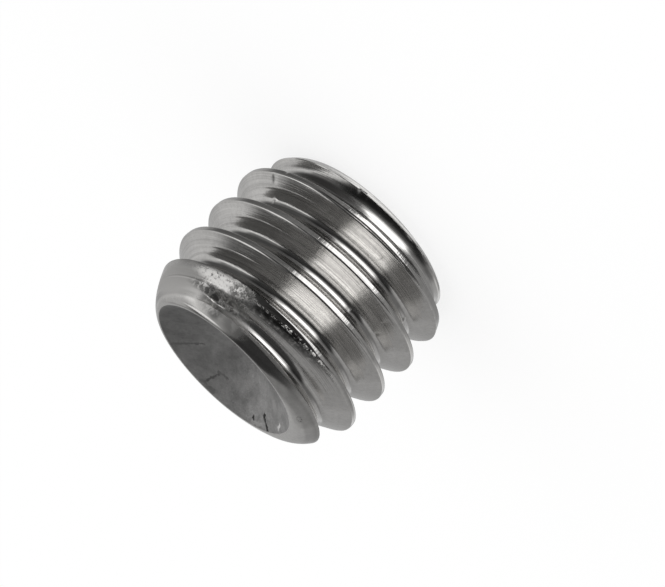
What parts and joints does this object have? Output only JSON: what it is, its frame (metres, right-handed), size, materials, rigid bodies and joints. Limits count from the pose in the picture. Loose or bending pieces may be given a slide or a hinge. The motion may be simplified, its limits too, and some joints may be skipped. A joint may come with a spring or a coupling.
{
  "type": "grub set screw",
  "caption": "Headless set screw: rolled right-hand thread, cup point at one end and a hexagon socket at the other, for clamping a collar or knob to a shaft.",
  "frame": {"origin": "centre of the flat socket face that the screw stands on", "axes": "+Z along the screw's axis, from the socket face towards the cup; -Y faces the viewer"},
  "size_m": [0.0058, 0.0058, 0.0048],
  "materials": {
    "steel": "bright rolled steel, duller and pitted at the point"
  },
  "bodies": {
    "root": {"set_screw": "steel"}
  },
  "joints": []
}
